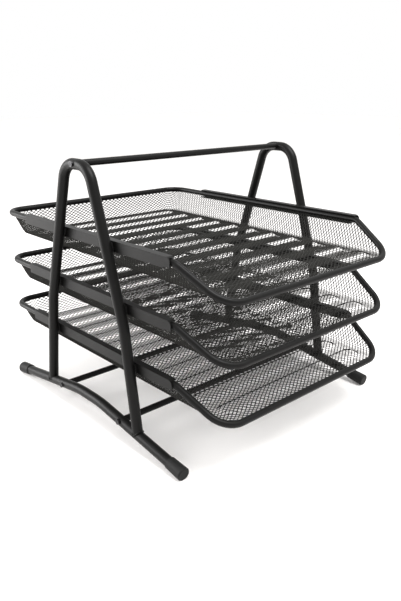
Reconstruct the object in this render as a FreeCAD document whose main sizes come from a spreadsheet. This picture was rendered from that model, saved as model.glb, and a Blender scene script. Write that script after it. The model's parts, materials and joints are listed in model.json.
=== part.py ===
import FreeCAD, Part
import math
import os
import Sketcher

# Three-tier sliding mesh letter tray: two arched side frames on foot tubes, a handle bar and two
# cross rails between them, six channel rails, and three mesh trays that slide out to the front.
# Frame: +Z up, front faces -Y, origin on the desk under the middle of the stack.

os.makedirs("parts", exist_ok=True)
doc = FreeCAD.newDocument("letter_tray_stack")
V = FreeCAD.Vector


# ---------------------------------------------------------------- driving dimensions
sheet = doc.addObject("Spreadsheet::Sheet", "Dimensions")
DRIVING = [
    # stand
    ("frame_spacing", "=2 * (rim_half_width + rail_gap) + tube_diameter", "side frame to side frame"),
    ("tube_diameter", 10.5, "frame and foot tube"),
    ("tube_wall", 1.0, "wall of the frame and foot tube"),
    ("frame_height", 265.3, "centre of the tube at the top of the arch"),
    ("frame_middle", -2.6, "Y of the arch, the handle and the cross rails' middle"),
    ("apex_half_width", 20.0, "half spacing of the leg lines at the top"),
    ("apex_radius", 20.8, "bend at the top of the arch"),
    ("knee_height", 121.7, "where the leg turns steeper"),
    ("knee_half_width", 64.7, "half spacing of the legs at the knee"),
    ("knee_radius", 60.0, "bend at the knee"),
    ("leg_half_width", 80.5, "half spacing of the legs at the foot tube"),
    ("foot_middle", 1.6, "Y of the middle of the foot tube"),
    ("foot_half_length", 152.4, "half length over the foot caps"),
    ("foot_rise", 20.0, "height of the foot arch"),
    ("foot_crown_half", 19.6, "half length of the foot arch's level crown"),
    ("foot_radius", 147.0, "bend of the foot arch"),
    ("rod_diameter", 6.5, "cross rails"),
    ("handle_diameter", 6.5, "handle bar"),
    ("handle_rise", 0.7, "handle above the arch tube's centre"),
    ("cross_rear", 50.4, "Y of the rear cross rail"),
    ("cross_front", -57.5, "Y of the front cross rail"),
    ("cross_front_rise", 1.8, "front cross rail above the foot tube's centre"),
    # foot caps
    ("cap_length", 20.0, "foot cap"),
    ("cap_end_diameter", 13.4, "wide end of the foot cap"),
    ("cap_mouth_diameter", 12.1, "mouth of the foot cap"),
    ("cap_wall", 3.0, "closed end of the foot cap"),
    ("cap_round", 1.5, "rounding of the closed end"),
    ("cap_sole", 0.5, "depth of the flat sole"),
    # screws
    ("screw_diameter", 3.0, "screw shank"),
    ("screw_length", 20.0, "screw shank length"),
    ("head_diameter", 5.6, "screw head"),
    ("head_height", 1.4, "screw head"),
    ("recess_depth", 0.8, "driver slot in a screw head"),
    ("recess_width", 0.8, "driver slot"),
    ("recess_length", 3.0, "driver slot"),
    # slide rails
    ("rail_rear", 121.0, "Y of the rail's rear end"),
    ("rail_length", 250.0, "rail"),
    ("rail_height", 10.2, "outside height of the channel"),
    ("rail_width", 7.0, "web to the edge of the flanges"),
    ("rail_sheet", 1.0, "sheet of the channel"),
    ("rail_top", 4.9, "top of the channel above the rim's centre"),
    ("rail_gap", 4.6, "rim's centre line to the web's outer face"),
    ("rail_corner", 5.0, "rounded front corner of the channel"),
    ("rail_notch", 8.0, "lower flange cut back at the front"),
    # trays
    ("tray_height", 195.4, "rim centre of the top tray above the desk"),
    ("tray_pitch", 56.0, "height from tray to tray"),
    ("rim_diameter", 6.6, "rim wire"),
    ("rim_half_width", 130.1, "rim centre line"),
    ("rim_half_length", 179.4, "rim centre line"),
    ("rim_corner", 21.3, "rear corners of the rim"),
    ("slope_start", -128.4, "Y where the rim turns down"),
    ("slope_drop", 28.6, "drop of the rim to the front"),
    ("slope_bend", 14.7, "bend where the rim turns down"),
    ("front_half_width", 117.5, "rim centre line at the front"),
    ("front_corner", 25.7, "front corners of the rim"),
    ("sheet_thickness", 0.8, "mesh sheet"),
    ("overshoot", 1.0, "how far a cutting shape passes what it cuts"),
    ("sill", 0.05, "front opening above the floor"),
    ("floor_drop", 26.6, "upper side of the floor below the rim's centre"),
    ("floor_half_width", 116.5, "floor"),
    ("floor_rear", 173.5, "Y of the floor's rear edge"),
    ("wall_half_width", 129.1, "mesh wall at the rim"),
    ("wall_rear", 178.4, "Y of the mesh wall at the rim"),
    ("floor_corner", 12.0, "rear corners of the floor"),
    ("floor_front_corner", 14.0, "front corners of the floor"),
    ("bead_count", 10, "stiffening beads across the floor"),
    ("bead_pitch", 33.0, "bead to bead"),
    ("bead_first", -156.7, "Y of the front bead"),
    ("bead_length", 207.0, "bead over its round ends"),
    ("bead_width", 13.0, "bead"),
    ("bead_height", 2.5, "bead above the floor"),
    ("opening_columns", 12, "openings across each floor"),
    ("opening_rib", 2.5, "sheet left between two openings"),
    ("opening_margin", 4.0, "sheet left along the floor's edge"),
    ("window_low", 5.0, "wall openings above the floor"),
    ("window_high", 6.0, "wall openings below the rim's centre"),
]
for row, (alias, value, note) in enumerate(DRIVING, start=1):
    sheet.set("A%d" % row, alias)
    sheet.set("B%d" % row, str(value))
    sheet.set("C%d" % row, note)
    sheet.setAlias("B%d" % row, alias)
doc.recompute()


def dim(alias):
    return float(sheet.get(alias))


def bind(obj, prop, formula):
    """Bind a property to a formula whose names are aliases of the sheet."""
    words = formula.replace("(", " ( ").replace(")", " ) ").split()
    names = {alias for alias, value, note in DRIVING}
    obj.setExpression(prop, " ".join("Dimensions." + w if w in names else w for w in words))


# ---------------------------------------------------------------- derived places
half_spacing = dim("frame_spacing") / 2
tube_radius = dim("tube_diameter") / 2
foot_slope = math.atan2(dim("foot_rise"), dim("foot_half_length") - dim("foot_crown_half"))
cap_radius = dim("cap_end_diameter") / 2
# The rounded end edge of a cap reaches the desk, less the depth of its flat sole.
foot_end_height = (
    dim("cap_round")
    + (cap_radius - dim("cap_round")) * math.cos(foot_slope)
    - dim("cap_round") * math.sin(foot_slope)
    - dim("cap_sole")
)
TIERS = [("top", 0), ("middle", 1), ("bottom", 2)]
SIDES = [("left", -1), ("right", 1)]


def tier_height(number):
    return dim("tray_height") - number * dim("tray_pitch")


def foot_height(y):
    """Height of the foot tube's centre line on its straight stretches."""
    run = dim("foot_half_length") - abs(y - dim("foot_middle"))
    return foot_end_height + run * math.tan(foot_slope)


# ---------------------------------------------------------------- bent wire and tube
def bent_solid(corners, radii, diameter):
    """A round bar along straight runs joined by tangent arcs: cylinders and torus pieces."""
    radius = diameter / 2
    pieces = []
    start = corners[0]
    for index in range(1, len(corners)):
        corner = corners[index]
        if index == len(corners) - 1:
            pieces.append(Part.makeCylinder(radius, (corner - start).Length, start, corner - start))
            break
        back = (corners[index - 1] - corner).normalize()
        ahead = (corners[index + 1] - corner).normalize()
        opening = back.getAngle(ahead)
        bend = radii[index - 1]
        reach = bend / math.tan(opening / 2)
        entry = corner + back * reach
        leave = corner + ahead * reach
        inward = (back + ahead).normalize()
        centre = corner + inward * (bend / math.sin(opening / 2))
        axis = (entry - centre).cross(leave - centre).normalize()
        pieces.append(Part.makeCylinder(radius, (entry - start).Length, start, entry - start))
        disc = Part.Face(Part.Wire(Part.makeCircle(radius, entry, back)))
        pieces.append(disc.revolve(centre, axis, math.degrees(math.pi - opening)))
        start = leave
    joined = pieces[0].multiFuse(pieces[1:])
    return joined.removeSplitter().Solids[0]


def bent_bar(name, corners, radii, diameter):
    """A document object for a bent bar; its sizes come from the sheet."""
    bar = doc.addObject("Part::Feature", name)
    bar.Shape = bent_solid(corners, radii, diameter)
    return bar


def cut(name, base, tool):
    piece = doc.addObject("Part::Cut", name)
    piece.Base = base
    piece.Tool = tool
    return piece


def fuse(name, members):
    piece = doc.addObject("Part::MultiFuse", name)
    piece.Shapes = members
    return piece


nodes = []


def node(piece, label):
    """Name a finished sub-part; its label is the name of its file."""
    piece.Label = label
    nodes.append(piece)
    return piece


# ---------------------------------------------------------------- side frames and foot tubes
def frame_corners(x):
    """Corner points of the arch's centre line, from the rear leg over the top to the front leg."""
    middle = dim("frame_middle")
    points = []
    for way in (1, -1):
        leg = middle + way * dim("leg_half_width")
        knee = middle + way * dim("knee_half_width")
        apex = middle + way * dim("apex_half_width")
        side = [
            V(x, leg, foot_height(leg)),
            V(x, knee, dim("knee_height")),
            V(x, apex, dim("frame_height")),
        ]
        points += side if way == 1 else side[::-1]
    return points


def foot_corners(x, inset):
    """Corner points of the foot tube's centre line; inset is the room for the cap's end wall."""
    middle = dim("foot_middle")
    reach = dim("foot_half_length") - inset * math.cos(foot_slope)
    end = foot_end_height + inset * math.sin(foot_slope)
    crown = foot_end_height + dim("foot_rise")
    return [
        V(x, middle + reach, end),
        V(x, middle + dim("foot_crown_half"), crown),
        V(x, middle - dim("foot_crown_half"), crown),
        V(x, middle - reach, end),
    ]


inner_diameter = dim("tube_diameter") - 2 * dim("tube_wall")
frame_radii = [dim("knee_radius"), dim("apex_radius"), dim("apex_radius"), dim("knee_radius")]
foot_radii = [dim("foot_radius"), dim("foot_radius")]
handle_height = dim("frame_height") + dim("handle_rise")
cross_places = [
    ("rear", dim("cross_rear"), foot_height(dim("cross_rear"))),
    ("front", dim("cross_front"), foot_height(dim("cross_front")) + dim("cross_front_rise")),
]


def screw_hole(name, x, y, z):
    """A bore along X through a tube, for a screw."""
    bore = doc.addObject("Part::Cylinder", name)
    bind(bore, "Radius", "screw_diameter / 2")
    bind(bore, "Height", "tube_diameter * 2")
    bore.Placement = FreeCAD.Placement(V(x - dim("tube_diameter"), y, z), FreeCAD.Rotation(V(0, 1, 0), 90))
    return bore


frame_bars = {}
foot_bars = {}
for side, way in SIDES:
    x = way * half_spacing
    outer = bent_bar(side + "_arch_bar", frame_corners(x), frame_radii, dim("tube_diameter"))
    bore = bent_bar(side + "_arch_bore", frame_corners(x), frame_radii, inner_diameter)
    foot = bent_bar(side + "_foot_bar", foot_corners(x, dim("cap_wall")), foot_radii, dim("tube_diameter"))
    foot_bore = bent_bar(side + "_foot_bore", foot_corners(x, dim("cap_wall")), foot_radii, inner_diameter)
    frame_bars[side] = outer
    foot_bars[side] = foot

    apex_hole = screw_hole(side + "_apex_hole", x, dim("frame_middle"), handle_height)
    away = fuse(side + "_arch_tools", [bore, foot, apex_hole])
    node(cut(side + "_arch", outer, away), side + "_side_frame")

    holes = [screw_hole(side + "_" + end + "_hole", x, y, z) for end, y, z in cross_places]
    hollow = fuse(side + "_foot_tools", [foot_bore] + holes)
    node(cut(side + "_foot", foot, hollow), side + "_foot_tube")


# ---------------------------------------------------------------- bars between the frames
def cross_bar(label, diameter, y, z, ends):
    """A bar along X with coped ends against the tubes and a threaded bore in each end."""
    bar = doc.addObject("Part::Cylinder", label + "_bar")
    bind(bar, "Radius", diameter + " / 2")
    bind(bar, "Height", "frame_spacing")
    bar.Placement = FreeCAD.Placement(V(-half_spacing, y, z), FreeCAD.Rotation(V(0, 1, 0), 90))
    tools = list(ends)
    for side, way in SIDES:
        bore = doc.addObject("Part::Cylinder", label + "_" + side + "_bore")
        bind(bore, "Radius", "screw_diameter / 2")
        bind(bore, "Height", "screw_length")
        outside = V(way * (half_spacing + tube_radius), y, z)
        bore.Placement = FreeCAD.Placement(outside, FreeCAD.Rotation(V(0, 1, 0), -90 * way))
        tools.append(bore)
    node(cut(label + "_coped", bar, fuse(label + "_tools", tools)), label)


arches = [frame_bars["left"], frame_bars["right"]]
feet = [foot_bars["left"], foot_bars["right"]]
cross_bar("handle_bar", "handle_diameter", dim("frame_middle"), handle_height, arches)
for end, y, z in cross_places:
    cross_bar(end + "_cross_rail", "rod_diameter", y, z, feet)


# ---------------------------------------------------------------- screws
def screw(name, way, y, z, against):
    """A pan-head screw from the outside of a tube; its head is seated on the round tube."""
    outside = V(way * (half_spacing + tube_radius), y, z)
    turn = FreeCAD.Rotation(V(0, 1, 0), -90 * way)
    shank = doc.addObject("Part::Cylinder", name + "_shank")
    bind(shank, "Radius", "screw_diameter / 2")
    bind(shank, "Height", "screw_length")
    shank.Placement = FreeCAD.Placement(outside, turn)
    head = doc.addObject("Part::Cylinder", name + "_head")
    bind(head, "Radius", "head_diameter / 2")
    bind(head, "Height", "head_height + tube_diameter / 2")
    head.Placement = FreeCAD.Placement(outside + V(way * dim("head_height"), 0, 0), turn)
    recess = doc.addObject("Part::Box", name + "_recess")
    bind(recess, "Length", "2 * recess_depth")
    bind(recess, "Width", "recess_width")
    bind(recess, "Height", "recess_length")
    across = dim("recess_depth"), dim("recess_width") / 2, dim("recess_length") / 2
    middle = outside + V(way * dim("head_height"), 0, 0)
    recess.Placement = FreeCAD.Placement(middle - V(*across), FreeCAD.Rotation())
    seated = cut(name + "_seated", head, fuse(name + "_seat", [against, recess]))
    return fuse(name, [seated, shank])


handle_screws = [
    screw(side + "_handle_screw", way, dim("frame_middle"), handle_height, frame_bars[side])
    for side, way in SIDES
]
rail_screws = [
    screw(side + "_" + end + "_rail_screw", way, y, z, foot_bars[side])
    for side, way in SIDES
    for end, y, z in cross_places
]


def screw_group(label, members):
    group = doc.addObject("Part::Compound", label + "_group")
    group.Links = members
    node(group, label)


screw_group("handle_bar_screws", handle_screws)
screw_group("cross_rail_screws", rail_screws)


# ---------------------------------------------------------------- foot caps
def plane_of(body, role):
    return [f for f in body.Origin.OriginFeatures if f.Role == role][0]


def new_sketch(body, name, role):
    sketch = body.newObject("Sketcher::SketchObject", name)
    sketch.AttachmentSupport = [(plane_of(body, role), "")]
    sketch.MapMode = "FlatFace"
    return sketch


def closed_lines(sketch, points):
    """Straight closed outline through the points, joined corner to corner."""
    first = sketch.GeometryCount
    count = len(points)
    for index in range(count):
        start, end = points[index], points[(index + 1) % count]
        sketch.addGeometry(Part.LineSegment(V(start[0], start[1], 0), V(end[0], end[1], 0)), False)
    for index in range(count):
        following = first + (index + 1) % count
        sketch.addConstraint(Sketcher.Constraint("Coincident", first + index, 2, following, 1))
    return first


def foot_cap(side, way, end, front):
    """A moulded cap: a tapered sleeve with a closed, rounded end and a flat sole."""
    label = side + "_" + end + "_foot_cap"
    body = doc.addObject("PartDesign::Body", label + "_body")
    length = dim("cap_length")
    mouth = dim("cap_mouth_diameter") / 2
    # Half section in the sleeve's own frame: local X runs out along the foot tube.
    outline = [
        (-length, tube_radius),
        (-dim("cap_wall"), tube_radius),
        (-dim("cap_wall"), 0),
        (0, 0),
        (0, cap_radius),
        (-length, mouth),
    ]
    section = new_sketch(body, label + "_section", "XZ_Plane")
    closed_lines(section, outline)
    turned = body.newObject("PartDesign::Revolution", label + "_turned")
    turned.Profile = section
    turned.ReferenceAxis = (section, ["H_Axis"])
    turned.Angle = 360
    doc.recompute()
    rim = [
        "Edge%d" % (number + 1)
        for number, edge in enumerate(turned.Shape.Edges)
        if abs(edge.BoundBox.XMax) < 1e-6 and abs(edge.BoundBox.ZMax - cap_radius) < 1e-6 and edge.Closed
    ]
    rounded = body.newObject("PartDesign::Fillet", label + "_rounded")
    rounded.Base = (turned, rim)
    bind(rounded, "Radius", "cap_round")
    body.Tip = rounded
    y = dim("foot_middle") + front * dim("foot_half_length")
    tilt = FreeCAD.Rotation(V(0, 0, 1), 90 * front).multiply(
        FreeCAD.Rotation(V(0, 1, 0), math.degrees(foot_slope))
    )
    body.Placement = FreeCAD.Placement(V(way * half_spacing, y, foot_end_height), tilt)
    desk = doc.addObject("Part::Box", label + "_desk")
    bind(desk, "Length", "cap_length * 3")
    bind(desk, "Width", "cap_length * 3")
    bind(desk, "Height", "cap_length")
    half = dim("cap_length") * 1.5
    corner = V(way * half_spacing - half, y - half, -dim("cap_length"))
    desk.Placement = FreeCAD.Placement(corner, FreeCAD.Rotation())
    node(cut(label + "_soled", body, desk), label)


for side, way in SIDES:
    foot_cap(side, way, "rear", 1)
    foot_cap(side, way, "front", -1)


# ---------------------------------------------------------------- slide rails
def slide_rail(side, way, tier, number):
    """A channel rail, open to the inside, with its web against the legs."""
    label = side + "_" + tier + "_slide_rail"
    body = doc.addObject("PartDesign::Body", label + "_body")
    web = way * (half_spacing - tube_radius)
    inside = web - way * dim("rail_width")
    step = way * dim("rail_sheet")
    top = dim("rail_top")
    low = top - dim("rail_height")
    sheet_metal = dim("rail_sheet")
    outline = [
        (web, low),
        (web, top),
        (inside, top),
        (inside, top - sheet_metal),
        (web - step, top - sheet_metal),
        (web - step, low + sheet_metal),
        (inside, low + sheet_metal),
        (inside, low),
    ]
    section = new_sketch(body, label + "_section", "XZ_Plane")
    closed_lines(section, outline)
    channel = body.newObject("PartDesign::Pad", label + "_channel")
    channel.Profile = section
    bind(channel, "Length", "rail_length")
    doc.recompute()
    # Side view cuts at the front end: a rounded upper corner and the lower flange cut back.
    front = -dim("rail_length")
    corner = dim("rail_corner")
    past = dim("overshoot")
    nose = new_sketch(body, label + "_nose", "YZ_Plane")
    arc = Part.ArcOfCircle(
        Part.Circle(V(front + corner, top - corner, 0), V(0, 0, 1), corner), math.pi / 2, math.pi
    )
    nose.addGeometry(arc, False)
    waste = [
        V(front, top - corner, 0),
        V(front - past, top - corner, 0),
        V(front - past, top + past, 0),
        V(front + corner, top + past, 0),
        V(front + corner, top, 0),
    ]
    for start, stop in zip(waste, waste[1:]):
        nose.addGeometry(Part.LineSegment(start, stop), False)
    notch = [
        (front - past, low - past),
        (front + dim("rail_notch"), low - past),
        (front + dim("rail_notch"), low + sheet_metal),
        (front - past, low + sheet_metal),
    ]
    closed_lines(nose, notch)
    trimmed = body.newObject("PartDesign::Pocket", label + "_trimmed")
    trimmed.Profile = nose
    bind(trimmed, "Length", "frame_spacing")
    trimmed.Reversed = way > 0
    body.Tip = trimmed
    doc.recompute()
    if trimmed.Shape.Volume > channel.Shape.Volume - 1:
        raise RuntimeError(label + ": the front end was not trimmed")
    body.Placement = FreeCAD.Placement(V(0, dim("rail_rear"), tier_height(number)), FreeCAD.Rotation())
    node(body, label)


for side, way in SIDES:
    for tier, number in TIERS:
        slide_rail(side, way, tier, number)


# ---------------------------------------------------------------- trays
def rim_corners(way):
    """One half of the rim, from the middle of the back round to the middle of the front."""
    rear = dim("rim_half_length")
    wide = way * dim("rim_half_width")
    narrow = way * dim("front_half_width")
    drop = dim("slope_drop")
    return [
        V(0, rear, 0),
        V(wide, rear, 0),
        V(wide, dim("slope_start"), 0),
        V(narrow, -rear, -drop),
        V(0, -rear, -drop),
    ]


rim_radii = [dim("rim_corner"), dim("slope_bend"), dim("front_corner")]


def rounded_outline(name, half_width, rear, front, rear_radius, front_radius, height):
    """A level rounded rectangle, drawn as a sketch, for the loft of a tray."""
    sketch = doc.addObject("Sketcher::SketchObject", name)
    sketch.Placement = FreeCAD.Placement(V(0, 0, height), FreeCAD.Rotation())
    corners = [
        (half_width, rear, rear_radius, 0),
        (-half_width, rear, rear_radius, 90),
        (-half_width, front, front_radius, 180),
        (half_width, front, front_radius, 270),
    ]
    ends = []
    for x, y, radius, angle in corners:
        inward_x = -1 if x > 0 else 1
        inward_y = -1 if y > 0 else 1
        centre = V(x + inward_x * radius, y + inward_y * radius, 0)
        start, stop = math.radians(angle), math.radians(angle + 90)
        sketch.addGeometry(
            Part.ArcOfCircle(Part.Circle(centre, V(0, 0, 1), radius), start, stop), False
        )
        ends.append(
            (
                centre + V(math.cos(start), math.sin(start), 0) * radius,
                centre + V(math.cos(stop), math.sin(stop), 0) * radius,
            )
        )
    for index in range(4):
        leave = ends[index][1]
        arrive = ends[(index + 1) % 4][0]
        sketch.addGeometry(Part.LineSegment(leave, arrive), False)
    return sketch


def tray_pan(name, inset, bottom, height):
    """The space inside a tray's wall, less an inset, lofted from the floor up to the rim."""
    front = -dim("rim_half_length")
    low = rounded_outline(
        name + "_low",
        dim("floor_half_width") - inset,
        dim("floor_rear") - inset,
        front,
        dim("floor_corner"),
        dim("floor_front_corner"),
        height + bottom,
    )
    high = rounded_outline(
        name + "_high",
        dim("wall_half_width") - inset,
        dim("wall_rear") - inset,
        front - dim("overshoot"),
        dim("rim_corner"),
        dim("floor_front_corner"),
        height,
    )
    loft = doc.addObject("Part::Loft", name)
    loft.Sections = [low, high]
    loft.Solid = True
    loft.Ruled = True
    return loft


def floor_beads(name, height, inset):
    """The beads across the floor, or the hollows under them: one pad, repeated along the tray."""
    body = doc.addObject("PartDesign::Body", name)
    reach = (dim("bead_length") - dim("bead_width")) / 2
    radius = dim("bead_width") / 2 - inset
    outline = new_sketch(body, name + "_outline", "XY_Plane")
    for way, start in ((1, -90), (-1, 90)):
        circle = Part.Circle(V(way * reach, 0, 0), V(0, 0, 1), radius)
        outline.addGeometry(
            Part.ArcOfCircle(circle, math.radians(start), math.radians(start + 180)), False
        )
        outline.addGeometry(
            Part.LineSegment(V(-reach, way * radius, 0), V(reach, way * radius, 0)), False
        )
    bead = body.newObject("PartDesign::Pad", name + "_pad")
    bead.Profile = outline
    bind(bead, "Length", "bead_height")
    doc.recompute()
    row = body.newObject("PartDesign::LinearPattern", name + "_row")
    row.Originals = [bead]
    row.Direction = (plane_of(body, "Y_Axis"), [""])
    bind(row, "Length", "bead_pitch * ( bead_count - 1 )")
    bind(row, "Occurrences", "bead_count")
    body.Tip = row
    body.Placement = FreeCAD.Placement(V(0, dim("bead_first"), height), FreeCAD.Rotation())
    return body


def front_opening(name, height):
    """The part of the wall above the sloping rim and above the floor's front edge."""
    start = dim("slope_start")
    run = dim("rim_half_length") + start
    floor = dim("sill") - dim("floor_drop")
    meet = start + floor / dim("slope_drop") * run
    beyond = -dim("rim_half_length") - dim("rim_diameter")
    above = dim("rim_diameter")
    side = [
        V(0, start, 0),
        V(0, meet, floor),
        V(0, beyond, floor),
        V(0, beyond, above),
        V(0, start, above),
    ]
    opening = doc.addObject("Part::Extrusion", name)
    profile = doc.addObject("Part::Polygon", name + "_side")
    profile.Nodes = side
    profile.Close = True
    opening.Base = profile
    opening.Dir = V(1, 0, 0)
    bind(opening, "LengthFwd", "frame_spacing / 2")
    bind(opening, "LengthRev", "frame_spacing / 2")
    opening.Solid = True
    opening.Placement = FreeCAD.Placement(V(0, 0, height), FreeCAD.Rotation())
    return opening


def column_edges(count):
    """Left and right edge of each opening in a row of openings across the tray."""
    pitch = 2 * (dim("floor_half_width") - dim("opening_margin")) / dim("opening_columns")
    half_width = (pitch - dim("opening_rib")) / 2
    middles = [pitch * (index - (count - 1) / 2) for index in range(count)]
    return [(middle - half_width, middle + half_width) for middle in middles]


def rectangles(sketch, spans, low, high):
    for start, stop in spans:
        closed_lines(sketch, [(start, low), (stop, low), (stop, high), (start, high)])


def floor_openings(name, height):
    """The openings through the floor: a row across, repeated from flat to flat between the beads."""
    columns = int(dim("opening_columns"))
    half_length = dim("bead_pitch") / 2 - dim("opening_rib")
    body = doc.addObject("PartDesign::Body", name + "_rows")
    row = new_sketch(body, name + "_row", "XY_Plane")
    rectangles(row, column_edges(columns), -half_length, half_length)
    block = body.newObject("PartDesign::Pad", name + "_block")
    block.Profile = row
    bind(block, "Length", "2 * bead_height + 2 * sheet_thickness")
    doc.recompute()
    rows = body.newObject("PartDesign::LinearPattern", name + "_pattern")
    rows.Originals = [block]
    rows.Direction = (plane_of(body, "Y_Axis"), [""])
    bind(rows, "Length", "bead_pitch * bead_count")
    bind(rows, "Occurrences", "bead_count + 1")
    body.Tip = rows
    low = height - 2 * dim("sheet_thickness")
    first = dim("bead_first") - dim("bead_pitch") / 2
    body.Placement = FreeCAD.Placement(V(0, first, low), FreeCAD.Rotation())
    margin = dim("opening_margin")
    edge = rounded_outline(
        name + "_edge",
        dim("floor_half_width") - margin,
        dim("floor_rear") - margin,
        2 * margin - dim("rim_half_length"),
        dim("floor_corner"),
        dim("floor_front_corner"),
        low,
    )
    field = doc.addObject("Part::Extrusion", name + "_field")
    field.Base = edge
    field.Dir = V(0, 0, 1)
    field.Solid = True
    bind(field, "LengthFwd", "2 * bead_height + 2 * sheet_thickness")
    clipped = doc.addObject("Part::Common", name)
    clipped.Base = body
    clipped.Tool = field
    return clipped


def wall_openings(name, height):
    """One row of openings through the side walls, in line with the floor's, and one at the rear."""
    low = dim("window_low") - dim("floor_drop")
    high = -dim("window_high")
    half_length = dim("bead_pitch") / 2 - dim("opening_rib")
    first = dim("bead_first") + dim("bead_pitch") * 3 / 2
    middles = [first + dim("bead_pitch") * index for index in range(int(dim("bead_count")) - 2)]
    spans = [(middle - half_length, middle + half_length) for middle in middles]
    sides = doc.addObject("PartDesign::Body", name + "_sides")
    side_row = new_sketch(sides, name + "_side_row", "YZ_Plane")
    rectangles(side_row, spans, low, high)
    through = sides.newObject("PartDesign::Pad", name + "_through")
    through.Profile = side_row
    through.Midplane = True
    bind(through, "Length", "frame_spacing")
    sides.Placement = FreeCAD.Placement(V(0, 0, height), FreeCAD.Rotation())
    back = doc.addObject("PartDesign::Body", name + "_back")
    back_row = new_sketch(back, name + "_back_row", "XZ_Plane")
    rectangles(back_row, column_edges(int(dim("opening_columns")) - 2), low, high)
    outward = back.newObject("PartDesign::Pad", name + "_outward")
    outward.Profile = back_row
    bind(outward, "Length", "2 * rim_corner")
    behind = dim("rim_half_length") + dim("rim_corner")
    back.Placement = FreeCAD.Placement(V(0, behind, height), FreeCAD.Rotation())
    return fuse(name, [sides, back])


def tray(tier, number):
    height = tier_height(number)
    name = tier + "_tray"
    halves = []
    for side, way in SIDES:
        half = bent_bar(name + "_" + side + "_rim", rim_corners(way), rim_radii, dim("rim_diameter"))
        half.Placement = FreeCAD.Placement(V(0, 0, height), FreeCAD.Rotation())
        halves.append(half)
    rim = fuse(name + "_rim_loop", halves)
    rim.Refine = True
    node(rim, name + "_rim")

    thick = dim("sheet_thickness")
    outer = tray_pan(name + "_outer", 0, -dim("floor_drop") - thick, height)
    inner = tray_pan(name + "_inner", thick, -dim("floor_drop"), height)
    shell = cut(name + "_shell", outer, inner)
    opened = cut(name + "_opened", shell, front_opening(name + "_front_opening", height))
    floor = height - dim("floor_drop")
    ribbed = fuse(name + "_ribbed", [opened, floor_beads(name + "_beads", floor, 0)])
    hollows = floor_beads(name + "_hollows", floor - thick, thick)
    sheet_metal = cut(name + "_sheet", ribbed, fuse(name + "_away", [hollows, rim]))
    grid = [floor_openings(name + "_floor_grid", floor), wall_openings(name + "_wall_grid", height)]
    node(cut(name + "_mesh", sheet_metal, fuse(name + "_grid", grid)), name + "_basket")


for tier, number in TIERS:
    tray(tier, number)

doc.recompute()


# ---------------------------------------------------------------- checks and files
failed = [obj.Name for obj in doc.Objects if {"Invalid", "Error"} & set(obj.State)]
if failed:
    raise RuntimeError("objects failed to compute: " + ", ".join(failed))
for piece in nodes:
    shape = piece.Shape
    if shape.isNull() or not shape.isValid() or not shape.Solids:
        raise RuntimeError("bad shape: " + piece.Label)
for piece in nodes:
    piece.Shape.exportStep(os.path.join("parts", piece.Label + ".step"))
    box = piece.Shape.BoundBox
    print(
        "%-28s solids %d  volume %9.1f  x %.1f %.1f  y %.1f %.1f  z %.1f %.1f"
        % (piece.Label, len(piece.Shape.Solids), piece.Shape.Volume,
           box.XMin, box.XMax, box.YMin, box.YMax, box.ZMin, box.ZMax)
    )
print("nodes:", len(nodes))
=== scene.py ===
# %% [markdown]
# # A three-tier sliding letter tray, from its frame to its finish
# The object is a desk stand for paper: two bent tube side frames on foot bars, a carrying handle,
# six channel rails and three trays of fine steel mesh that slide out to the front. The measured
# solids are loaded first and nothing in this lesson moves them. Blender adds what solids do badly:
# thousands of thin strands of mesh, weld beads, and the powder coat over all of it.

# %% Load the measured frame
import bpy
import bmesh
import json
import math
from mathutils import Matrix, Vector


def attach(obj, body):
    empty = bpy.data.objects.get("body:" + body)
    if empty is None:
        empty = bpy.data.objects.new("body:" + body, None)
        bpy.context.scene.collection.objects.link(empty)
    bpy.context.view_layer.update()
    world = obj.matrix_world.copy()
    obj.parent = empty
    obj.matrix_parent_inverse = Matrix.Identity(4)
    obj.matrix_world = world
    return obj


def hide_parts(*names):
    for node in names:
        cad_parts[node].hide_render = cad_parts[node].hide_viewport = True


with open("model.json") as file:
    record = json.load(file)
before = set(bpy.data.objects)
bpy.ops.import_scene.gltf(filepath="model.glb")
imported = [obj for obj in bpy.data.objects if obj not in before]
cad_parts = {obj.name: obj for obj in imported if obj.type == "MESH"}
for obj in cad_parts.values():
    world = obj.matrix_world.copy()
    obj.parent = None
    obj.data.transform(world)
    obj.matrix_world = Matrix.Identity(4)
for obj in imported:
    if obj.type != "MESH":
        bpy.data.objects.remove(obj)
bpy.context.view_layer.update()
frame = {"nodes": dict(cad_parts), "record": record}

# %% [markdown]
# ## Two small habits
# Blender's operators act on whatever is selected, and loading a model leaves it selected. So each
# piece below starts by letting go of everything, and edit mode is entered and left in one place.
# All lengths are given in millimetres and turned into metres with MM.

# %% Helpers for selecting and editing
MM = 0.001
TINY = 1e-7


def let_go():
    """Nothing selected, object mode."""
    if bpy.context.object and bpy.context.object.mode != "OBJECT":
        bpy.ops.object.mode_set(mode="OBJECT")
    bpy.ops.object.select_all(action="DESELECT")


def pick(obj):
    """Only this object selected and active."""
    let_go()
    obj.select_set(True)
    bpy.context.view_layer.objects.active = obj
    return obj


def name_piece(name):
    """Names the active object and its mesh."""
    piece = bpy.context.object
    piece.name = name
    piece.data.name = name
    return piece


def place_in_mesh(piece):
    """Turns, scales and moves go into the mesh, and the object itself stays at the origin."""
    pick(piece)
    bpy.ops.object.transform_apply(location=True, rotation=True, scale=True)
    return piece


def copy_of(piece, name):
    """A copy with its own mesh, which is then the active object."""
    pick(piece)
    bpy.ops.object.duplicate(linked=False)
    return name_piece(name)


def triangles(piece):
    """How many triangles the piece's faces come to."""
    return sum(len(face.vertices) - 2 for face in piece.data.polygons)


let_go()

# %% [markdown]
# ## Where the viewer stands
# A camera is a point, a direction and a focal length. This one stands in front and to the left of
# the stand, a little above it, about as far as a person at the desk. A very small lens shift slides
# the picture without turning the camera, so upright legs keep their slight, natural convergence.
# The plain "Standard" view keeps the pale floor white and the black steel black.

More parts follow.
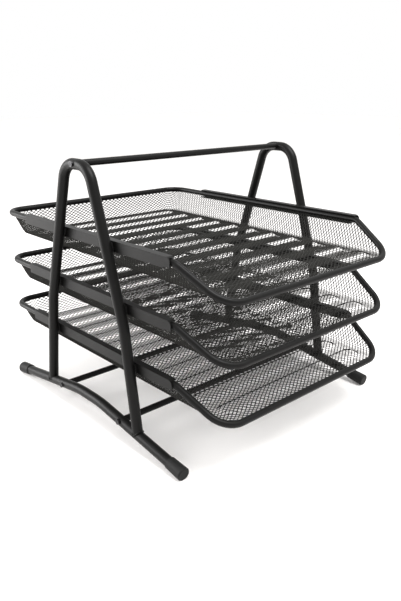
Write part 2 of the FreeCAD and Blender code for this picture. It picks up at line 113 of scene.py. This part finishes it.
# %% Camera
SENSOR_WIDTH = 36.0
FOCAL_LENGTH = 36.50
SHIFT_SIDEWAYS = 0.0055
SHIFT_UPWARDS = 0.0073
NEAREST_SEEN = 10 * MM
STANDS_AT = Vector((-0.43902, -0.50275, 0.32904))
LOOKS_AT = Vector((0.00501, -0.00699, 0.09486))
ROLL = math.radians(-0.13)


def facing(place, target):
    """The matrix of a camera or a lamp that stands at a place and faces a target."""
    turn = (target - place).to_track_quat("-Z", "Y").to_matrix().to_4x4()
    return Matrix.Translation(place) @ turn


camera_data = bpy.data.cameras.new("viewer")
camera_data.sensor_width = SENSOR_WIDTH
camera_data.lens = FOCAL_LENGTH
camera_data.shift_x = SHIFT_SIDEWAYS
camera_data.shift_y = SHIFT_UPWARDS
camera_data.clip_start = NEAREST_SEEN
camera = bpy.data.objects.new("viewer", camera_data)
bpy.context.scene.collection.objects.link(camera)
camera.matrix_world = facing(STANDS_AT, LOOKS_AT) @ Matrix.Rotation(ROLL, 4, "Z")
bpy.context.scene.camera = camera
bpy.context.scene.view_settings.view_transform = "Standard"
print("camera to middle of the stand: %.3f m" % (LOOKS_AT - STANDS_AT).length)

# %% [markdown]
# ## Soft light for black steel
# Black steel shows only what it reflects. A pale room all round shows the fine mesh as a dark
# drawing on white. A wide panel in front and above lights the rails, the rims and the floors of the
# trays from the viewer's side. A low one at the left and a little behind draws a light along each
# leg and throws the legs' shadows onto the rails.

# %% Room and light panels
ROOM_LIGHT = 1.0


def soft_panel(name, place, toward, width, height, watts):
    """A rectangular area light that faces a point."""
    panel = bpy.data.lights.new(name, "AREA")
    panel.shape = "RECTANGLE"
    panel.size = width
    panel.size_y = height
    panel.energy = watts
    holder = bpy.data.objects.new(name, panel)
    bpy.context.scene.collection.objects.link(holder)
    holder.matrix_world = facing(Vector(place), Vector(toward))
    return holder


panels = (
    soft_panel(
        "overhead_panel", place=(0.1, -0.6, 1.4), toward=(0, -0.2, 0),
        width=0.9, height=0.9, watts=28
    ),
    soft_panel(
        "left_panel", place=(-1.0, 1.0, 0.5), toward=(0, 0, 0.13),
        width=0.9, height=0.8, watts=27
    ),
)

world = bpy.data.worlds.new("pale_room")
world.use_nodes = True
room = world.node_tree.nodes["Background"]
room.inputs["Color"].default_value = (1.0, 1.0, 1.0, 1.0)
room.inputs["Strength"].default_value = ROOM_LIGHT
bpy.context.scene.world = world
print("panels:", [panel.name for panel in panels])

# %% [markdown]
# ## A plain floor
# The floor is a plain pale sheet, the top of a light table: it glows a little, so the shadows under
# the trays stay soft and light.

# %% Floor
FLOOR_SIZE = 14
FLOOR_COLOUR = (0.92, 0.90, 0.885, 1)
FLOOR_ROUGHNESS = 0.6
GLOW_COLOUR = (1.0, 0.985, 0.97, 1)
FLOOR_GLOW = 0.10

let_go()
bpy.ops.mesh.primitive_plane_add(size=FLOOR_SIZE, location=(0, 0, 0))
floor = name_piece("floor")
floor_material = bpy.data.materials.new("pale_floor")
floor_material.use_nodes = True
floor_shader = floor_material.node_tree.nodes["Principled BSDF"]
floor_shader.inputs["Base Color"].default_value = FLOOR_COLOUR
floor_shader.inputs["Roughness"].default_value = FLOOR_ROUGHNESS
floor_shader.inputs["Emission Color"].default_value = GLOW_COLOUR
floor_shader.inputs["Emission Strength"].default_value = FLOOR_GLOW
floor.data.materials.append(floor_material)
print("floor:", FLOOR_SIZE, "m wide")

# %% [markdown]
# ## Powder coat as a node group
# Powder coat is sprayed as dry plastic dust and baked. It melts into a satin skin with a fine
# orange-peel ripple, a little duller where the spray lay thick. The frame, the rails and the trays
# all wear it, so the effect is built once as a group with named inputs, and each material puts in
# its own values. The group gives back a colour, a roughness and a ripple height. The shader and its
# bump node stay in the material.

# %% Group: its sockets
def add_socket(group, name, way, kind, value=None):
    """A named input or output of the group, with a starting value where it has one."""
    socket = group.interface.new_socket(name=name, in_out=way, socket_type=kind)
    if value is not None:
        socket.default_value = value
    return socket


coat = bpy.data.node_groups.new("powder_coat_skin", "ShaderNodeTree")
add_socket(coat, "Colour", "INPUT", "NodeSocketColor", (0.02, 0.02, 0.02, 1))
add_socket(coat, "Peel Scale", "INPUT", "NodeSocketFloat", 900.0)
add_socket(coat, "Roughness", "INPUT", "NodeSocketFloat", 0.4)
add_socket(coat, "Mottle", "INPUT", "NodeSocketFloat", 0.08)
add_socket(coat, "Dust", "INPUT", "NodeSocketFloat", 0.02)
add_socket(coat, "Colour", "OUTPUT", "NodeSocketColor")
add_socket(coat, "Roughness", "OUTPUT", "NodeSocketFloat")
add_socket(coat, "Ripple", "OUTPUT", "NodeSocketFloat")
print("powder coat group:", len(coat.interface.items_tree), "sockets")

# %% [markdown]
# ## Small helpers for nodes
# A node is made, put at a place in the node editor, and wired. Three helpers keep that to one line
# each. The first two numbers after the tree, or after the operation, are the place in the editor.

# %% Helpers for nodes
def node(tree, kind, x, y, **settings):
    """A node at a place in the editor, with its settings."""
    made = tree.nodes.new(kind)
    made.location = (x, y)
    for key, value in settings.items():
        setattr(made, key, value)
    return made


def feed(tree, value, socket):
    """Puts a number into a socket, or wires another socket to it."""
    if isinstance(value, (int, float)):
        socket.default_value = value
    else:
        tree.links.new(value, socket)


def math_node(tree, operation, x, y, first, second):
    """A Math node; each input is a number or a socket."""
    made = node(tree, "ShaderNodeMath", x, y, operation=operation)
    feed(tree, first, made.inputs[0])
    feed(tree, second, made.inputs[1])
    return made.outputs[0]


def noise(tree, x, y, coordinates, scale, detail):
    """A noise texture; its scale is a number or a socket."""
    made = node(tree, "ShaderNodeTexNoise", x, y)
    made.inputs["Detail"].default_value = detail
    feed(tree, scale, made.inputs["Scale"])
    tree.links.new(coordinates, made.inputs["Vector"])
    return made.outputs["Fac"]


# %% [markdown]
# ## Ripple, roughness and dust
# Three noises do the work. The peel is the ripple of the baked skin, the specks are its finest
# grain, and the cloud is the slow change where the spray lay thicker. Dust settles only on what
# faces up, and the cloud makes it patchy.

# %% Group: ripple and roughness
CLOUD_SCALE = 55.0
SPECK_SCALE = 2600.0
SPECK_HEIGHT = 0.35
SPECK_DULLING = 0.06
NOISE_MIDDLE = 0.5

given = node(coat, "NodeGroupInput", -900, 0)
result = node(coat, "NodeGroupOutput", 900, 0)
where = node(coat, "ShaderNodeTexCoord", -900, -300).outputs["Object"]
peel = noise(coat, -600, -100, where, given.outputs["Peel Scale"], detail=2.0)
cloud = noise(coat, -600, -350, where, CLOUD_SCALE, detail=3.0)
specks = noise(coat, -600, -600, where, SPECK_SCALE, detail=1.0)

low_specks = math_node(coat, "MULTIPLY", -400, -200, specks, SPECK_HEIGHT)
ripple = math_node(coat, "ADD", -200, -100, peel, low_specks)
coat.links.new(ripple, result.inputs["Ripple"])

uneven = math_node(coat, "SUBTRACT", -300, -350, cloud, NOISE_MIDDLE)
spread = math_node(coat, "MULTIPLY", -100, -350, uneven, given.outputs["Mottle"])
dulled = math_node(coat, "ADD", 100, -350, given.outputs["Roughness"], spread)
off_middle = math_node(coat, "SUBTRACT", -100, -500, specks, NOISE_MIDDLE)
fine = math_node(coat, "MULTIPLY", 100, -500, off_middle, SPECK_DULLING)
roughness = math_node(coat, "ADD", 300, -400, dulled, fine)
coat.links.new(roughness, result.inputs["Roughness"])

# %% Group: dust
DUST_COLOUR = (0.42, 0.41, 0.39, 1)

upward = node(coat, "ShaderNodeNewGeometry", -600, 350).outputs["Normal"]
split = node(coat, "ShaderNodeSeparateXYZ", -400, 350)
coat.links.new(upward, split.inputs["Vector"])
facing_up = math_node(coat, "MAXIMUM", -200, 350, split.outputs["Z"], 0.0)
settled = math_node(coat, "MULTIPLY", 0, 350, facing_up, given.outputs["Dust"])
patchy = math_node(coat, "MULTIPLY", 200, 350, settled, cloud)
dusty = node(coat, "ShaderNodeMix", 400, 250, data_type="RGBA")
dusty.inputs["B"].default_value = DUST_COLOUR
coat.links.new(patchy, dusty.inputs["Factor"])
coat.links.new(given.outputs["Colour"], dusty.inputs["A"])
coat.links.new(dusty.outputs["Result"], result.inputs["Colour"])
print("powder coat group:", len(coat.nodes), "nodes")

# %% [markdown]
# ## Four finishes from one group
# The tubes, rods and rails are the same satin black. The mesh strands are thin, so their coat comes
# out a touch duller. Their colour is the same satin black painted a shade lighter: painted light
# for the light that the many small faces of the mesh catch. The screws are black-oxide steel, and
# the foot caps are moulded plastic with a spark-eroded grain. Both have a fine uneven skin too, so
# the group serves them at another scale. The coats are matt, so the specular level is low. It is
# the same all over a surface, so it is set on the shader's own socket.

# %% Materials
BUMP_STRENGTH = 0.6
SPECULAR_LEVEL = 0.12
SCREW_METALLIC = 0.8


def coated(name, colour, roughness, peel_scale, ripple_depth, mottle, dust):
    """A Principled material that takes colour, roughness and ripple from the powder coat group."""
    material = bpy.data.materials.new(name)
    material.use_nodes = True
    tree = material.node_tree
    shader = tree.nodes["Principled BSDF"]
    skin = node(tree, "ShaderNodeGroup", -600, 0)
    skin.node_tree = coat
    skin.inputs["Colour"].default_value = colour
    skin.inputs["Peel Scale"].default_value = peel_scale
    skin.inputs["Roughness"].default_value = roughness
    skin.inputs["Mottle"].default_value = mottle
    skin.inputs["Dust"].default_value = dust
    bump = node(tree, "ShaderNodeBump", -300, -250)
    bump.inputs["Strength"].default_value = BUMP_STRENGTH
    bump.inputs["Distance"].default_value = ripple_depth
    tree.links.new(skin.outputs["Colour"], shader.inputs["Base Color"])
    tree.links.new(skin.outputs["Roughness"], shader.inputs["Roughness"])
    tree.links.new(skin.outputs["Ripple"], bump.inputs["Height"])
    tree.links.new(bump.outputs["Normal"], shader.inputs["Normal"])
    shader.inputs["Specular IOR Level"].default_value = SPECULAR_LEVEL
    return material


satin_black = coated(
    "satin_powder_coat", colour=(0.004, 0.0039, 0.0037, 1), roughness=0.38,
    peel_scale=900.0, ripple_depth=0.03 * MM, mottle=0.12, dust=0.02
)
# The strands wear the frame's satin black, painted a shade lighter: painted light for the light
# that the mesh's many small faces catch.
strand_black_painted_light = coated(
    "mesh_powder_coat_painted_light", colour=(0.017, 0.0167, 0.0151, 1), roughness=0.5,
    peel_scale=1500.0, ripple_depth=0.01 * MM, mottle=0.10, dust=0.02
)
screw_black = coated(
    "black_oxide_steel", colour=(0.035, 0.034, 0.036, 1), roughness=0.30,
    peel_scale=1800.0, ripple_depth=0.01 * MM, mottle=0.15, dust=0.0
)
screw_shader = screw_black.node_tree.nodes["Principled BSDF"]
screw_shader.inputs["Metallic"].default_value = SCREW_METALLIC
cap_black = coated(
    "moulded_black_plastic", colour=(0.010, 0.010, 0.010, 1), roughness=0.55,
    peel_scale=2400.0, ripple_depth=0.04 * MM, mottle=0.05, dust=0.02
)
print("materials:", [m.name for m in (satin_black, strand_black_painted_light, screw_black, cap_black)])

# %% [markdown]
# ## Dress the measured solids
# The tubes, rods, rails, rims, caps and screws are the right shape already. Each one keeps its mesh
# and gets its finish in its own material slots.

# %% Finishes on the solids
FINISH = {
    "black_frame": satin_black,
    "black_mesh": strand_black_painted_light,
    "black_screws": screw_black,
    "black_plastic": cap_black,
}
for entry in frame["record"]["subparts"]:
    solid = frame["nodes"][entry["node"]]
    for slot_number in range(len(solid.material_slots)):
        solid.material_slots[slot_number].material = FINISH[entry["material_slot"]]
print("dressed", len(frame["nodes"]), "solids")

# %% [markdown]
# ## Weld beads where the legs stand
# Each leg is welded on top of the foot tube, with a bead that runs round it. Two round tubes of the
# same size meet in a saddle: high over the foot's back, low at its flanks. A torus is the ring, and
# each of its points is lifted by the saddle's height, with a small ripple for the welder's steps.
# The ring is made once and copied to the four legs, each copy leans with its leg, and the four
# become one piece.

# %% Saddle welds
TUBE_RADIUS = 5.25 * MM
SPACING_HALF = 139.95 * MM
LEG_LEAN = math.radians(8.6)
# For a rear and a front leg: how far back its foot is, how high, and the way it leans
LEG_FEET = ((77.9 * MM, 17.4 * MM, 1), (-83.1 * MM, 16.1 * MM, -1))
WELD_GAP = 0.15 * MM
WELD_RADIUS = 0.8 * MM
RIPPLES = 22
RIPPLE_SHARE = 0.018


def saddle_weld(name):
    """A rippled bead for an upright leg that stands across the foot tube."""
    let_go()
    bpy.ops.mesh.primitive_torus_add(
        major_segments=88,
        minor_segments=8,
        major_radius=TUBE_RADIUS + WELD_GAP,
        minor_radius=WELD_RADIUS,
    )
    weld = name_piece(name)
    for point in weld.data.vertices:
        around = math.atan2(point.co.y, point.co.x)
        swell = 1 + RIPPLE_SHARE * math.sin(RIPPLES * around)
        lift = TUBE_RADIUS * abs(math.sin(around))
        point.co = (point.co.x * swell, point.co.y * swell, point.co.z + lift)
    bpy.ops.object.shade_smooth()
    return weld


def set_on_legs(piece, places):
    """The piece and its copies, one at each place, each leaned with its leg."""
    pieces = [piece] + [copy_of(piece, piece.name) for _ in places[1:]]
    for each, (x, y, z, lean) in zip(pieces, places):
        each.location = (x, y, z)
        each.rotation_euler = (lean, 0, 0)
        place_in_mesh(each)
    return pieces


def join_pieces(pieces, name):
    """Several pieces become one."""
    let_go()
    for piece in pieces:
        piece.select_set(True)
    bpy.context.view_layer.objects.active = pieces[0]
    bpy.ops.object.join()
    return name_piece(name)


def finish_on_stand(piece, material):
    """Gives a piece of the stand its material and its body."""
    piece.data.materials.clear()
    piece.data.materials.append(material)
    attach(piece, "stand")
    print(piece.name + ":", triangles(piece), "triangles")


places = [
    (side * SPACING_HALF, y, z, way * LEG_LEAN)
    for side in (-1, 1)
    for y, z, way in LEG_FEET
]
welds = set_on_legs(saddle_weld("leg_weld"), places)
finish_on_stand(join_pieces(welds, "leg_foot_welds"), satin_black)

# %% [markdown]
# ## Weld beads behind the rails
# A rail's flat web touches each round leg along one line, and a short bead fills the wedge on both
# sides of it. A sphere stretched along the leg has that shape, and only half of it shows.

# %% Rail welds
FRAME_MIDDLE = -2.6 * MM
# Half spread of the legs and height, at the foot, the knee and the apex of a side frame
FOOT = (80.5 * MM, 16.8 * MM)
KNEE = (64.7 * MM, 121.7 * MM)
APEX = (20.0 * MM, 265.3 * MM)
RAIL_MIDDLES = (195.2 * MM, 139.2 * MM, 83.2 * MM)
RAIL_BACK = 135.3 * MM
WEDGE_HALF_SIZES = (1.0 * MM, 1.3 * MM, 4.4 * MM)
WEDGE_OFFSET = 3.4 * MM


def leg_place(z):
    """Half spread of the legs at a height, and how far they lean there."""
    low, high = (KNEE, APEX) if z > KNEE[1] else (FOOT, KNEE)
    share = (z - low[1]) / (high[1] - low[1])
    lean = math.atan2(low[0] - high[0], high[1] - low[1])
    return low[0] + share * (high[0] - low[0]), lean


def wedge_weld(name):
    """A short bead that lies along an upright leg."""
    let_go()
    bpy.ops.mesh.primitive_uv_sphere_add(segments=12, ring_count=10, radius=1)
    weld = name_piece(name)
    weld.scale = WEDGE_HALF_SIZES
    place_in_mesh(weld)
    bpy.ops.object.shade_smooth()
    return weld


places = []
for side in (-1, 1):
    for z in RAIL_MIDDLES:
        spread, lean = leg_place(z)
        for way in (-1, 1):
            for edge in (-1, 1):
                y = FRAME_MIDDLE + way * spread + edge * WEDGE_OFFSET
                places.append((side * RAIL_BACK, y, z, way * lean))
welds = set_on_legs(wedge_weld("rail_weld"), places)
finish_on_stand(join_pieces(welds, "rail_welds"), satin_black)

# %% [markdown]
# ## The mesh starts as one zigzag
# Expanded steel mesh is a sheet that is slit and pulled open. Each strand runs across the sheet in
# a zigzag and touches its neighbours at every turn, which leaves rows of diamonds. So the mesh can
# be built as the machine makes it: one zigzag strand, its mirror image, and many copies of the
# pair. A pair is made from a strip of squares: the edges between its two long sides go, and the
# faces with them. The points that are left on each long side step up and down in turn.

# %% One pair of strands
DIAMOND_LONG = 6.0 * MM
DIAMOND_SHORT = 3.65 * MM
STRAND_GAP = 0.30 * MM
SHEET_HALF_WIDTH = 147.0 * MM
SHEET_REAR = 203.0 * MM
SHEET_FRONT = -181.0 * MM


def strand_pair(name):
    """One zigzag strand and its mirror image, at the front edge of the sheet."""
    turns = 2 * round(2 * SHEET_HALF_WIDTH / DIAMOND_LONG)
    let_go()
    bpy.ops.mesh.primitive_grid_add(x_subdivisions=turns, y_subdivisions=1, size=2)
    piece = name_piece(name)
    piece.scale = (turns * DIAMOND_LONG / 4, DIAMOND_SHORT / 4, 1)
    piece.location = (0, SHEET_FRONT, 0)
    place_in_mesh(piece)
    bpy.ops.object.mode_set(mode="EDIT")
    shape = bmesh.from_edit_mesh(piece.data)
    for edge in list(shape.edges):
        if abs(edge.verts[0].co.x - edge.verts[1].co.x) < TINY:
            shape.edges.remove(edge)
    swing = DIAMOND_SHORT / 4 - STRAND_GAP / 2
    for point in shape.verts:
        turn = round(point.co.x / (DIAMOND_LONG / 2))
        strand = 1 if point.co.y > SHEET_FRONT else -1
        up = 1 if turn % 2 else -1
        point.co.y = SHEET_FRONT + strand * (DIAMOND_SHORT / 4 + up * swing)
    bmesh.update_edit_mesh(piece.data)
    bpy.ops.object.mode_set(mode="OBJECT")
    return piece


strands = strand_pair("top_tray_mesh")
print("one pair of strands:", len(strands.data.vertices), "points")

# %% [markdown]
# ## From a line to a wire, and from a wire to a sheet
# As a curve the zigzag gets a bevel, which turns it into a four-sided wire. The wire is flattened a
# little, because a real strand is wider than it is tall. Only then does the array repeat it, so the
# costly steps work on two strands and not on two hundred.

# %% Diamond lattice, still flat
STRAND_HALF = 0.50 * MM
STRAND_FLATTENED = 0.82

bpy.ops.object.convert(target="CURVE")
wires = bpy.context.object
wires.data.dimensions = "3D"
wires.data.bevel_depth = STRAND_HALF
wires.data.bevel_resolution = 0
wires.data.use_fill_caps = True
bpy.ops.object.convert(target="MESH")
lattice = name_piece("top_tray_mesh")
lattice.scale = (1, 1, STRAND_FLATTENED)
place_in_mesh(lattice)
rows = lattice.modifiers.new("rows", "ARRAY")
rows.count = round((SHEET_REAR - SHEET_FRONT) / DIAMOND_SHORT)
rows.use_relative_offset = False
rows.use_constant_offset = True
rows.constant_offset_displace = (0, DIAMOND_SHORT, 0)
pick(lattice)
bpy.ops.object.modifier_apply(modifier="rows")
print("flat lattice:", triangles(lattice), "triangles")

# %% [markdown]
# ## Pressed into a tray
# In the factory the flat sheet goes into a press, which folds up three walls round a floor with
# rounded corners and stamps eleven wide, flat-topped beads across it. The same is done here point
# by point, with one distance: how far a point of the flat sheet lies outside the floor's outline.
# Inside, it stays level. Outside, it turns up round a small bend and climbs the wall. The sheet is
# a little closer together round the corners, as a pressed one is.

# %% The floor, the walls and the beads
TRAY_HEIGHT = 195.4 * MM
TIER_PITCH = 56.0 * MM
FLOOR_LEVEL = TRAY_HEIGHT - 27.0 * MM
FLOOR_HALF_WIDTH = 116.1 * MM
FLOOR_REAR = 173.1 * MM
FLOOR_CORNER = 12.0 * MM
FLOOR_BEND = 1.6 * MM
BEND_REACH = 20.0 * MM
# How far a wall runs outwards and upwards
SIDE_WALL = Vector((12.6, 27.4)).normalized()
REAR_WALL = Vector((4.9, 27.4)).normalized()
BEAD_FIRST = -157.5 * MM
BEAD_PITCH = 31.6 * MM
BEAD_COUNT = 11
BEAD_REACH = 93.5 * MM
BEAD_TOP = 5.9 * MM
BEAD_FOOT = 11.1 * MM
BEAD_HEIGHT = 2.6 * MM


def outside_floor(x, y):
    """How far (x, y) lies outside the floor's outline, and the way out; the front stays open."""
    across = abs(x) - (FLOOR_HALF_WIDTH - FLOOR_CORNER)
    along = y - (FLOOR_REAR - FLOOR_CORNER)
    way = 1 if x > 0 else -1
    if across > 0 and along > 0:
        reach = math.hypot(across, along)
        return reach - FLOOR_CORNER, way * across / reach, along / reach
    if across > along:
        return across - FLOOR_CORNER, way, 0
    return along - FLOOR_CORNER, 0, 1


def bead_lift(x, y):
    """Height of the raised bead over a point of the floor."""
    number = max(0, min(BEAD_COUNT - 1, round((y - BEAD_FIRST) / BEAD_PITCH)))
    off = math.hypot(max(abs(x) - BEAD_REACH, 0), y - BEAD_FIRST - number * BEAD_PITCH)
    slope = max(0.0, min(1.0, (BEAD_FOOT - off) / (BEAD_FOOT - BEAD_TOP)))
    return BEAD_HEIGHT * slope * slope * (3 - 2 * slope)


def on_tray(x, y):
    """Where a point of the flat sheet comes to lie on the pressed tray."""
    distance, way_x, way_y = outside_floor(x, y)
    if distance < -BEND_REACH:
        return Vector((x, y, FLOOR_LEVEL + bead_lift(x, y)))
    climb = (distance + math.hypot(distance, 2 * FLOOR_BEND)) / 2
    lean = SIDE_WALL.x * way_x ** 2 + REAR_WALL.x * way_y ** 2
    rise = SIDE_WALL.y * way_x ** 2 + REAR_WALL.y * way_y ** 2
    pulled_in = (1 - lean) * climb
    level = FLOOR_LEVEL + rise * climb + bead_lift(x, y)
    return Vector((x - way_x * pulled_in, y - way_y * pulled_in, level))


print("top of a bead, mm: %.1f" % (on_tray(0, BEAD_FIRST).z / MM))

# %% [markdown]
# ## The press closes
# A point above or below the flat sheet keeps its distance, measured square to the pressed one, so
# the strands keep their thickness everywhere. The square direction comes from two short feelers:
# one across the sheet and one along it.

# %% The press
FEELER = 0.2 * MM


def pressed(point):
    """Where a point of a strand comes to lie."""
    place = on_tray(point.x, point.y)
    if abs(point.z) < TINY:
        return place
    across = on_tray(point.x + FEELER, point.y) - place
    along = on_tray(point.x, point.y + FEELER) - place
    return place + across.cross(along).normalized() * point.z


for vertex in lattice.data.vertices:
    vertex.co = pressed(vertex.co)
print("pressed:", len(lattice.data.vertices), "points")

# %% [markdown]
# ## Trimmed along the rim
# The pressed sheet is still too large. It is cut along the rim wire, which hides the cut: level at
# the back and sides, down a slope at the front, and round the front corners. Each cut is a bisect
# plane that clears what lies outside it. A rounded corner is cut with several planes in turn, the
# way a file rounds a corner.

# %% Cuts along the rim
RIM_HALF_WIDTH = 130.1 * MM
RIM_HALF_LENGTH = 179.4 * MM
SLOPE_START = -128.4 * MM
SLOPE_DROP = 28.6 * MM
FRONT_HALF_WIDTH = 117.5 * MM
FRONT_CORNER = 25.7 * MM
CORNER_CUTS = 6


def trim(piece, place, outward):
    """Clears everything of the piece on the outward side of a plane."""
    pick(piece)
    bpy.ops.object.mode_set(mode="EDIT")
    bpy.ops.mesh.select_all(action="SELECT")
    bpy.ops.mesh.bisect(plane_co=place, plane_no=outward, clear_outer=True, threshold=TINY)
    bpy.ops.object.mode_set(mode="OBJECT")


trim(lattice, (0, 0, TRAY_HEIGHT), (0, 0, 1))
trim(lattice, (0, RIM_HALF_LENGTH, 0), (0, 1, 0))
slope_run = RIM_HALF_LENGTH + SLOPE_START
trim(lattice, (0, SLOPE_START, TRAY_HEIGHT), (0, -SLOPE_DROP, slope_run))
trim(lattice, (0, -RIM_HALF_LENGTH, 0), (0, -1, 0))
side_angle = -math.atan((RIM_HALF_WIDTH - FRONT_HALF_WIDTH) / slope_run)
half_turn = (math.pi / 2 + side_angle) / 2
for side in (-1, 1):
    corner = Vector((FRONT_HALF_WIDTH, -RIM_HALF_LENGTH))
    to_centre = FRONT_CORNER / math.cos(half_turn)
    bisector = side_angle - half_turn
    centre = corner - to_centre * Vector((math.cos(bisector), math.sin(bisector)))
    for step in range(CORNER_CUTS):
        angle = side_angle - 2 * half_turn * step / (CORNER_CUTS - 1)
        outward = Vector((math.cos(angle), math.sin(angle)))
        place = centre + FRONT_CORNER * outward
        trim(lattice, (side * place.x, place.y, 0), (side * outward.x, outward.y, 0))
print("trimmed:", triangles(lattice), "triangles")

# %% [markdown]
# ## Closed ends
# A cut leaves every strand open like a pipe. The holes are filled, so each strand is a solid wire
# again, and all faces are turned outwards before the mesh is shaded smooth.

# %% Fill the cut ends
pick(lattice)
bpy.ops.object.mode_set(mode="EDIT")
bpy.ops.mesh.select_all(action="SELECT")
bpy.ops.mesh.fill_holes(sides=0)
bpy.ops.mesh.select_all(action="SELECT")
bpy.ops.mesh.normals_make_consistent(inside=False)
bpy.ops.object.mode_set(mode="OBJECT")
bpy.ops.object.shade_smooth()
print("closed:", triangles(lattice), "triangles")

# %% [markdown]
# ## Two more trays
# The three trays come out of the same press, so the finished mesh is copied down by one tier and by
# two. Every copy has its own mesh, and the step down is applied to it. Each mesh takes the place of
# the plain solid basket of its tray and slides with it.

# %% Copies for the lower tiers
def copy_down(piece, name, tiers):
    """A copy of a tray's mesh, some tiers lower."""
    copy = copy_of(piece, name)
    copy.location.z -= tiers * TIER_PITCH
    return place_in_mesh(copy)


tray_meshes = {
    "top_tray": lattice,
    "middle_tray": copy_down(lattice, "middle_tray_mesh", 1),
    "bottom_tray": copy_down(lattice, "bottom_tray_mesh", 2),
}
for tray, sheet in tray_meshes.items():
    sheet.data.materials.clear()
    sheet.data.materials.append(strand_black_painted_light)
    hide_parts(tray + "_basket")
    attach(sheet, tray)
    print(sheet.name, "replaces", tray + "_basket")

# %% [markdown]
# ## The end
# The last line lets go of everything and leaves object mode.

# %% Let go
let_go()
